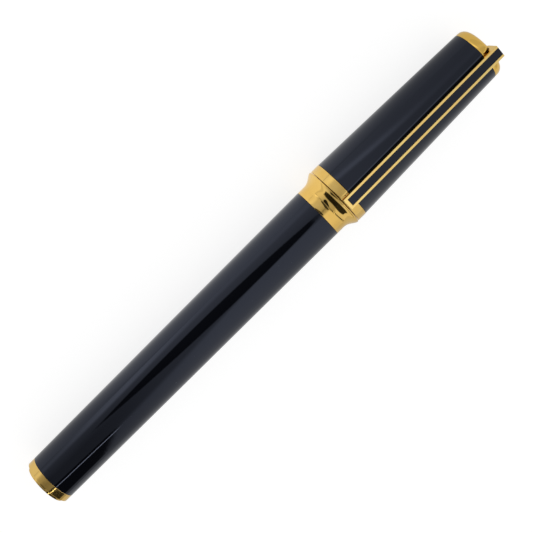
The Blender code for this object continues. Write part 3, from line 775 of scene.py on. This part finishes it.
def build_section():
    x0, x1, _ = span("section_catch_ring")
    outline = [(x0, 3.63), (x0, 5.50, 0.12), (92.0, 5.50, 0.08), (92.0, 5.0, 0.06)]
    outline += [(92.90, 5.0, 0.08), (93.05, 5.30, 0.06), (93.50, 5.30, 0.08)]
    outline += [(x1, 5.10, 0.05), (x1, 3.63)]
    turned("section_catch_ring", outline, "section", GOLD, steps=4)

    x0, x1, back = span("grip_sleeve")
    outline = [(x0, 3.63), (x0, back, 0.10)]
    front = 4.20
    steps = 26
    for step in range(1, steps):
        share = step / steps
        waist = 0.25 * math.sin(math.pi * share)
        radius = back + (front - back) * share - waist
        outline.append((x0 + (x1 - x0) * share, radius))
    outline += [(x1, front, 0.10), (x1, 3.55), (118.60, 3.55), (118.60, 3.15)]
    outline += [(112.05, 3.15), (112.05, 3.63)]
    turned("grip_sleeve", outline, "section", GRIP, steps=4)

    x0, x1, _ = span("nose_cone")
    shoulder = 121.03
    outline = [(x0, 2.40), (x0, 3.51, 0.15), (shoulder, 3.51), (shoulder, front, 0.08)]
    outline += [(121.40, front, 0.12), (122.60, 3.42, 0.5), (123.80, 2.58, 0.5)]
    outline += [(x1 - 0.12, 2.16, 0.12), (x1, 1.95, 0.12), (x1, 1.32, 0.1)]
    outline += [(123.90, 1.32), (121.80, 2.40)]
    turned("nose_cone", outline, "section", GOLD)

    x0, x1, _ = span("section_seal_ring")
    centre = (x0 + x1) / 2
    size = (x1 - x0) / 2
    outline = []
    for step in range(20):
        angle = math.tau * step / 20
        outline.append((centre + size * math.cos(angle), 3.93 + size * math.sin(angle)))
    turned("section_seal_ring", outline, "section", RUBBER, count=96)


def build_snap_ring():
    x0, x1, _ = span("cap_snap_ring")
    profile = rounded_outline(
        [(x0, 5.35, 0.12), (x1, 5.35, 0.12), (x1, 6.15, 0.12), (x0, 6.15, 0.12)], 4
    )
    opening = math.radians(24)
    count = 150
    size = len(profile)
    verts = []
    for step in range(count + 1):
        angle = -math.pi / 2 + opening / 2 + (math.tau - opening) * step / count
        for x, radius in profile:
            verts.append((x, radius * math.cos(angle), radius * math.sin(angle)))
    faces = [tuple(range(size)), tuple(range(count * size, (count + 1) * size))]
    for step in range(count):
        for index in range(size):
            after = (index + 1) % size
            low, high = step * size, (step + 1) * size
            faces.append((low + index, low + after, high + after, high + index))
    finish_mesh(
        "cap_snap_ring", verts, faces, "snap_ring", ["cap_snap_ring"], STEEL
    )


# ---------------------------------------------------------------- cap


def build_cap():
    x0, x1, lip_r = span("cap_shell")
    top_r = 6.29
    outline = [(x0, 6.72), (x0, lip_r, 0.08), (x1, top_r, 0.07), (x1, 5.35)]
    outline += [(130.0, 5.35), (96.10, 5.95), (96.10, 6.72)]
    turned("cap_shell", outline, "cap", LACQUER, steps=4)

    x0, x1, radius = span("cap_lip_ring")
    back = span("cap_shell")[0] - 0.04
    outline = [(x0, 5.85), (x0, radius, 0.16), (x0 + 0.22, radius), (back - 0.18, radius)]
    outline += [(back, radius, 0.13), (back, 6.68)]
    outline += [(x1, 6.68, 0.1), (x1, 5.75, 0.1), (92.95, 5.75, 0.05), (92.95, 6.25)]
    outline += [(91.90, 6.25), (91.90, 5.75, 0.05), (x0 + 0.1, 5.75)]
    turned("cap_lip_ring", outline, "cap", GOLD)

    x0, x1, _ = span("inner_cap")
    outline = [(x0, 5.45, 0.08), (x0, 5.92, 0.1), (x1, 5.32, 0.3), (x1, 0.0)]
    outline += [(129.05, 0.0), (129.05, 4.68)]
    turned("inner_cap", outline, "cap", LINER, count=128)

    x0, x1, radius = span("cap_seal_pad")
    outline = [(x0 + 0.12, 0.0), (x0, 1.4, 0.2), (x0, radius, 0.25), (x1, radius, 0.1), (x1, 0.0)]
    turned("cap_seal_pad", outline, "cap", PAD, count=96)
    build_head()


SCREW_Z = -3.0
PIVOT_X = 134.60
PIVOT_Z = 3.40


def build_head():
    x0, x1, radius = span("cap_head_block")
    outline = [(x0, 0.0), (x0, radius, 0.15), (x1, radius, 0.15), (x1, 1.20, 0.08)]
    outline += [(131.20, 1.20), (131.20, 0.0)]
    block = turned("cap_head_block", outline, "cap", BRASS, count=96)
    cutters = [rod_x("cut_head", x0 - 1, 131.05, 1.45, SCREW_Z)]
    cutters.append(rod_x("cut_shank", 130.5, x1 + 1, 0.75, SCREW_Z))
    carve(block, cutters)

    x0, x1, _ = span("crown_screw")
    under = 131.0
    outline = [(x0 + 0.25, 0.0), (x0 + 0.25, 0.55), (x0, 0.62), (x0, 1.40, 0.1)]
    outline += [(under, 1.40, 0.08), (under, 0.70), (x1 - 0.2, 0.70), (x1, 0.5), (x1, 0.0)]
    turned("crown_screw", outline, "cap", STEEL, count=48, z=SCREW_Z)

    build_crown()

    x0, x1, _ = span("clip_spring")
    spring = coil("clip_spring", x0, x1, 0.85, 0.15, 4.0, "cap", STEEL, 32, 10)
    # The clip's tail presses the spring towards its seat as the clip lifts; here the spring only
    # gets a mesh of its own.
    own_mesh(spring)

    pin_verts = []
    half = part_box("clip_pivot_pin")[1].y / MM
    count = 48
    stations = [(-half, 0.38), (-half + 0.1, 0.5), (half - 0.1, 0.5), (half, 0.38)]
    for place, radius in stations:
        for step in range(count):
            angle = math.tau * step / count
            pin_verts.append(
                (PIVOT_X + radius * math.cos(angle), place, PIVOT_Z + radius * math.sin(angle))
            )
    faces = [tuple(range(count)), tuple(range(3 * count, 4 * count))]
    for band in range(3):
        for step in range(count):
            after = (step + 1) % count
            low_row = band * count
            faces.append(
                (low_row + step, low_row + after, low_row + count + after, low_row + count + step)
            )
    finish_mesh(
        "clip_pivot_pin", pin_verts, faces, "cap", ["clip_pivot_pin"], STEEL
    )


SLOT_HALF_WIDTH = 1.80
SLOT_FLOOR = 135.20
CROWN_EDGE = 1.75


def build_crown():
    x0, x1, radius = span("cap_crown")
    under = span("cap_shell")[1] + 0.02
    outline = [(x0, 0.0), (x0, 5.30, 0.1), (under, 5.30), (under, radius, 0.08)]
    arc = []
    steps = 14
    for step in range(steps + 1):
        angle = math.pi / 2 * step / steps
        x = x1 - CROWN_EDGE + CROWN_EDGE * math.sin(angle)
        arc.append((x, radius - CROWN_EDGE + CROWN_EDGE * math.cos(angle)))
    outline += arc + [(x1, 0.0)]
    crown = turned("cap_crown", outline, "cap", GOLD_CROWN)
    hollow = [(132.0, -1.70), (135.35, -1.70), (135.35, 2.20), (138.0, 2.20)]
    hollow += [(138.0, 7.50), (SLOT_FLOOR, 7.50), (SLOT_FLOOR, 4.65), (132.0, 4.65)]
    cutters = [plate("cut_slot", hollow, SLOT_HALF_WIDTH, None, None, None)]
    # The slot's cut faces take the near-black painted shade metal.
    cutters[0].data.materials.append(SLOT_SHADE_METAL)
    cutters.append(rod_y("cut_pin", PIVOT_X, PIVOT_Z, 0.53, 2.95))
    cutters.append(rod_x("cut_screw", 132.0, 134.40, 0.75, SCREW_Z))
    carve(crown, cutters, 0.06, 2)


# ---------------------------------------------------------------- clip

CLIP_THICKNESS = 0.60
CLIP_Z_LIP = 8.26
CLIP_Z_TOP = 7.50
CLIP_FOOT_Z = 7.56
INLAY_START = 91.93
INLAY_HALF_WIDTH = 0.93
INLAY_DEPTH = 0.30


def build_clip():
    low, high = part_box("clip_frame")
    x0, x1 = low.x / MM, high.x / MM
    half = high.y / MM

    def top(x, depth=0.0):
        share = (x - x0) / (x1 - x0)
        return CLIP_Z_LIP + (CLIP_Z_TOP - CLIP_Z_LIP) * share - depth

    outline = [(x0, top(x0), 0.22), (x1, top(x1), 0.16), (137.50, 3.95, 0.5)]
    outline += [(137.0, 3.35, 0.4), (136.2, 2.9, 0.3)]
    for step in range(9):
        angle = math.radians(-40 - 6 * step)
        outline.append((PIVOT_X + 1.05 * math.cos(angle), PIVOT_Z + 1.05 * math.sin(angle)))
    outline += [(134.90, 2.0, 0.2), (134.90, -1.20, 0.35), (133.72, -1.20, 0.35)]
    outline.append((133.72, 2.75, 0.2))
    for step in range(11):
        angle = math.radians(200 - 12 * step)
        outline.append((PIVOT_X + 1.05 * math.cos(angle), PIVOT_Z + 1.05 * math.sin(angle)))
    outline += [(136.20, 4.70, 0.3), (136.25, 6.60, 0.3)]
    outline += [(135.95, top(135.95, CLIP_THICKNESS), 0.3)]
    outline += [(93.60, top(93.60, CLIP_THICKNESS), 0.25), (93.15, CLIP_FOOT_Z, 0.15)]
    outline += [(x0, CLIP_FOOT_Z, 0.18)]
    profile = rounded_outline(outline, 5)
    clip = plate(
        "clip_frame", profile, half, "clip", ["clip_frame"], GOLD_CLIP_PAINTED_LIGHT
    )
    stop = x1 + 1.0
    channel = [(INLAY_START, top(INLAY_START, INLAY_DEPTH)), (stop, top(stop, INLAY_DEPTH))]
    channel += [(stop, 9.0), (INLAY_START, 9.0)]
    cutters = [plate("cut_channel", channel, INLAY_HALF_WIDTH, None, None, None)]
    cutters.append(rod_y("cut_bore", PIVOT_X, PIVOT_Z, 0.56, 3.0))
    carve(clip, cutters, 0.07, 3)

    low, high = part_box("clip_inlay")
    first, last = low.x / MM, high.x / MM
    depth = INLAY_DEPTH - 0.03
    strip = [(first, top(first, depth)), (last, top(last, depth))]
    strip += [(last, top(last, 0.02)), (first, top(first, 0.02))]
    inlay = plate(
        "clip_inlay", strip, high.y / MM, "clip", ["clip_inlay"], INLAY
    )
    carve(inlay, [], 0.04, 3)


build_barrel()
build_collar()
build_threads()
build_refill()
build_section()
build_snap_ring()
build_cap()
build_clip()


# ---------------------------------------------------------------- studio


def build_floor():
    """Pale paper that glows: evenly to the camera, and in reflections with painted light that is
    less on the -Y side and near the cap's end.
    """
    size = 3.0
    mesh = bpy.data.meshes.new("studio_floor")
    corners = [(-size, -size, 0), (size, -size, 0), (size, size, 0), (-size, size, 0)]
    mesh.from_pydata(corners, [], [(0, 1, 2, 3)])
    floor = bpy.data.objects.new("studio_floor", mesh)
    floor.location = (0.07, 0.0, FLOOR_Z * MM)
    bpy.context.scene.collection.objects.link(floor)
    material = bpy.data.materials.new("studio_paper")
    material.use_nodes = True
    tree = material.node_tree
    graph = Graph(tree)
    shader = tree.nodes["Principled BSDF"]
    place = tree.nodes.new("ShaderNodeTexCoord").outputs["Object"]
    tooth = graph.noise(graph.scaled(place, (900.0, 900.0, 900.0)), 1.0, 3.0)
    paper = graph.mix(tooth, rgb(0.29, 0.29, 0.29), rgb(0.31, 0.31, 0.31))
    graph.put(shader.inputs["Base Color"], paper)
    shader.inputs["Roughness"].default_value = 1.0
    shader.inputs["Specular IOR Level"].default_value = 0.0
    shader.inputs["Emission Color"].default_value = rgb(1.0, 1.0, 1.0)
    # Painted light: for rays other than the camera's the floor glows in a pattern, dimmer on the
    # -Y side and near the cap's end.
    along = graph.mul(graph.dot(place, (1.0, 0.0, 0.0)), 1000.0)
    rise = graph.mul(graph.step_up(along, -62.0, -40.0), 0.24)
    fall = graph.mul(graph.step_up(along, 10.0, 60.0), -0.41)
    side_glow = graph.add(0.56, graph.add(rise, fall))
    across = graph.mul(graph.dot(place, (0.0, 1.0, 0.0)), 1000.0)
    glow = graph.remap(graph.step_up(across, -3.0, 3.0), 0.0, 1.0, 0.44, side_glow)
    seen = tree.nodes.new("ShaderNodeLightPath").outputs["Is Camera Ray"]
    graph.put(shader.inputs["Emission Strength"], graph.remap(seen, 0.0, 1.0, glow, 0.80))
    mesh.materials.append(material)


class Tent:
    """Directions as the world shader sees them, and the ways its shapes change the light.

    back is how far a direction leans towards the barrel end: the cap is seen in directions
    from about -0.3 to -0.05, the barrel from -0.05 to 0.3 and the collar's flare up to 0.95.
    turn is the angle in degrees round the pen, from the camera towards the clip side.
    """

    def __init__(self, graph):
        direction = graph.tree.nodes.new("ShaderNodeTexCoord").outputs["Generated"]
        self.graph = graph
        self.back = graph.mul(graph.dot(direction, tuple(ALONG)), -1.0)
        side = graph.dot(direction, tuple(ACROSS))
        up = graph.dot(direction, tuple(TO_CAMERA))
        self.turn = graph.math("DEGREES", graph.math("ARCTAN2", side, up))
        self.counter_turn = graph.mul(self.turn, -1.0)

    def ramp(self, value, low, high, rise):
        """A smooth rise, or a fall if it is negative, between two places."""
        return self.graph.mul(self.graph.step_up(value, low, high), rise)

    def swell(self, value, centre, width, height):
        """A round hump of light at one place."""
        graph = self.graph
        offset = graph.mul(graph.sub(value, centre), 1.0 / width)
        share = graph.math("POWER", math.e, graph.mul(graph.mul(offset, offset), -1.0))
        return graph.mul(share, height)

    def total(self, first, *others):
        """The sum of several values."""
        for other in others:
            first = self.graph.add(first, other)
        return first

    def darken(self, level, mask, depth):
        """Take a share of the light away where the mask is 1."""
        graph = self.graph
        return graph.mul(level, graph.sub(1.0, graph.mul(mask, depth)))

    def toward(self, level, mask, other):
        """Go from one level to another where the mask is 1."""
        graph = self.graph
        return graph.add(level, graph.mul(mask, graph.sub(other, level)))

    def away(self, centre):
        """Degrees between a direction's turn and a centre line."""
        return self.graph.math("ABSOLUTE", self.graph.sub(self.turn, centre))

    def stripe(self, centre, outer, inner):
        """1 within inner degrees of an angle of turn, 0 beyond outer degrees."""
        return self.graph.step_down(self.away(centre), inner, outer)

    def leaf(self, centre, middle, half_length, half_width, soft):
        """1 inside a pointed leaf along the pen, whose two sides are parabolas."""
        graph = self.graph
        place = graph.mul(graph.sub(self.back, middle), 1.0 / half_length)
        half = graph.mul(graph.sub(1.0, graph.mul(place, place)), half_width)
        return graph.step_up(graph.sub(half, self.away(centre)), -soft, soft)


def tent_top(tent):
    """The tent's top: darker over the barrel end, brighter towards the upper panel."""
    graph = tent.graph
    over_lip = tent.swell(tent.back, centre=-0.11, width=0.05, height=0.14)
    top = tent.total(0.50, over_lip, tent.ramp(tent.back, 0.11, 0.25, -0.25))
    climb = tent.ramp(tent.back, -0.09, -0.02, 0.0055)
    above = graph.math("MAXIMUM", tent.counter_turn, 0.0)
    return graph.add(top, graph.mul(graph.math("MINIMUM", above, 45.0), climb))


def upper_panel(tent, level):
    """The panel away from the clip: a soft slanted edge with a brighter strip behind it."""
    graph = tent.graph
    back = tent.back
    bow = tent.swell(back, centre=0.11, width=0.08, height=-10.0)
    edge = tent.total(-9.0, tent.ramp(back, -0.20, -0.05, -32.0), bow)
    past = graph.sub(edge, tent.turn)
    rise = tent.ramp(back, -0.25, 0.02, 0.42)
    fall = tent.ramp(back, 0.20, 0.27, -0.39)
    over_barrel = tent.swell(back, centre=0.145, width=0.06, height=0.22)
    panel = tent.total(0.55, rise, over_barrel, fall)
    on_cap = tent.swell(back, centre=-0.13, width=0.05, height=0.45)
    strip_level = tent.total(0.05, on_cap, tent.ramp(back, 0.10, 0.19, 0.20))
    panel = graph.add(panel, tent.swell(past, centre=10.0, width=10.0, height=strip_level))
    return tent.toward(level, graph.step_up(past, -7.0, 7.0), panel)


def clip_side_panel(tent, level):
    """The panel on the clip side, with a softer edge over the cap, dimmer towards the floor."""
    graph = tent.graph
    back = tent.back
    over_barrel = graph.step_up(back, -0.11, -0.06)
    cap_edge = graph.remap(back, -0.30, -0.115, 28.0, 42.0)
    barrel_edge = graph.add(21.0, tent.ramp(back, 0.05, 0.21, 22.0))
    edge = tent.toward(cap_edge, over_barrel, barrel_edge)
    soft = tent.toward(27.0, over_barrel, graph.add(8.0, tent.ramp(back, 0.05, 0.15, 8.0)))
    mask = graph.step_up(graph.sub(tent.turn, edge), graph.mul(soft, -0.5), soft)
    fall = tent.ramp(back, 0.09, 0.27, -0.49)
    panel = tent.total(0.62, tent.ramp(back, -0.32, -0.08, 0.33), fall)
    fade = graph.add(1.0, tent.ramp(tent.turn, 60.0, 110.0, -0.18))
    return tent.toward(level, mask, graph.mul(panel, fade))


def camera_leaf(tent, level):
    """The camera and its arm: a dark leaf along the barrel, fainter at its tip."""
    graph = tent.graph
    centre = graph.remap(tent.back, 0.0, 0.235, 9.0, -17.5)
    leaf = tent.leaf(centre, middle=0.098, half_length=0.136, half_width=21.5, soft=2.3)
    depth = graph.add(0.45, tent.ramp(tent.back, -0.016, -0.006, 0.46))
    return tent.darken(level, leaf, depth)


def barrel_end_opening(tent, level):
    """The tent's dark opening beyond the barrel end, crossed by a bright edge."""
    graph = tent.graph
    ends = graph.step_down(tent.back, 0.298, 0.310)
    mouth = graph.remap(tent.back, 0.21, 0.30, 42.5, 29.0)
    opening = graph.mul(
        graph.step_up(graph.sub(tent.turn, mouth), -1.0, 1.6),
        graph.step_down(tent.turn, 98.0, 103.0),
    )
    opening = graph.mul(opening, graph.step_up(tent.back, 0.210, 0.224))
    level = tent.darken(level, graph.mul(opening, ends), 0.93)
    line = graph.remap(tent.back, 0.215, 0.284, 52.6, 43.0)
    rim = tent.stripe(line, outer=1.6, inner=0.7)
    rim = graph.mul(rim, graph.step_up(tent.back, 0.208, 0.220))
    return graph.add(level, graph.mul(graph.mul(rim, ends), 4.0))


def lines_by_clip(tent, level):
    """Painted highlight and painted shade in the tent's light: a pale line and a dark stripe that
    only the cap mirrors beside the clip, standing in for the shade of the gap under the clip.
    """
    graph = tent.graph
    cap_only = graph.step_down(tent.back, -0.056, -0.044)
    # Painted highlight: a pale line along the cap beside the clip.
    painted_line_at = graph.remap(tent.back, -0.26, -0.11, 14.5, 18.0)
    pale = graph.mul(tent.stripe(painted_line_at, outer=3.4, inner=0.6), cap_only)
    level = graph.add(level, graph.mul(pale, 0.55))
    # Painted shade: a dark stripe for the gap under the clip.
    painted_gap_shade_at = graph.remap(tent.back, -0.26, -0.11, 22.2, 24.2)
    painted_gap_shade = graph.mul(tent.stripe(painted_gap_shade_at, outer=4.8, inner=2.8), cap_only)
    return tent.darken(level, painted_gap_shade, 0.94)


def flare_directions(tent, level):
    """Steep directions, seen only in the collar's flare: a dark branch and a dark crescent."""
    graph = tent.graph
    upper_side = tent.ramp(tent.counter_turn, 12.0, 60.0, 0.42)
    flare = tent.total(0.52, upper_side, tent.ramp(tent.turn, 38.0, 56.0, 0.33))
    level = tent.toward(level, graph.step_up(tent.back, 0.31, 0.36), flare)

    centre = graph.remap(tent.back, 0.14, 0.75, 6.0, -15.0)
    branch = tent.leaf(centre, middle=0.40, half_length=0.40, half_width=17.0, soft=3.0)
    branch = graph.mul(branch, graph.step_up(tent.back, 0.28, 0.33))
    branch = graph.mul(branch, graph.step_down(tent.back, 0.70, 0.78))

    tips = graph.add(
        tent.ramp(tent.counter_turn, 53.0, 64.0, 0.12), tent.ramp(tent.turn, 97.0, 110.0, 0.30)
    )
    edge = tent.total(0.845, tent.ramp(tent.turn, 15.0, 92.0, -0.175), tips)
    crescent = graph.step_up(graph.sub(tent.back, edge), -0.025, 0.04)
    return tent.darken(level, graph.math("MAXIMUM", branch, crescent), 0.97)


SKY_SEEN = 1.0
SKY_ON_FLOOR = 0.78


def build_world():
    """A light tent, seen in the pen as soft panels with a dark opening at the barrel end."""
    world = bpy.data.worlds.new("studio")
    bpy.context.scene.world = world
    world.use_nodes = True
    tree = world.node_tree
    graph = Graph(tree)
    tent = Tent(graph)
    level = tent_top(tent)
    level = upper_panel(tent, level)
    level = clip_side_panel(tent, level)
    level = camera_leaf(tent, level)
    level = barrel_end_opening(tent, level)
    level = lines_by_clip(tent, level)
    level = flare_directions(tent, level)

    # Only mirror-like rays see the tent. The camera and the floor see plain light.
    path = tree.nodes.new("ShaderNodeLightPath")
    plain = graph.remap(path.outputs["Is Camera Ray"], 0.0, 1.0, SKY_ON_FLOOR, SKY_SEEN)
    glossy = path.outputs["Is Glossy Ray"]
    strength = graph.add(graph.mul(glossy, level), graph.mul(graph.sub(1.0, glossy), plain))
    background = tree.nodes["Background"]
    background.inputs["Color"].default_value = rgb(1.0, 1.0, 1.0)
    graph.put(background.inputs["Strength"], strength)


def build_camera():
    """The camera looks along TO_CAMERA's line, rolled so that the pen lies diagonally."""
    camera = bpy.data.cameras.new("camera")
    camera.lens = LENS
    camera.sensor_width = 36.0
    camera.clip_start = 0.01
    camera.clip_end = 20.0
    holder = bpy.data.objects.new("camera", camera)
    bpy.context.scene.collection.objects.link(holder)
    right = ALONG * math.cos(ROLL) + ACROSS * math.sin(ROLL)
    upward = ALONG * math.sin(ROLL) - ACROSS * math.cos(ROLL)
    target = Vector((AIM_X, 0, 0)) + ACROSS * AIM_ACROSS
    place = (target + TO_CAMERA * CAMERA_DISTANCE) * MM
    turn = Matrix((right, upward, TO_CAMERA)).transposed()
    holder.matrix_world = Matrix.Translation(place) @ turn.to_4x4()
    bpy.context.scene.camera = holder


build_floor()
build_world()
build_camera()
scene = bpy.context.scene
scene.view_settings.view_transform = "Standard"
scene.view_settings.look = "None"
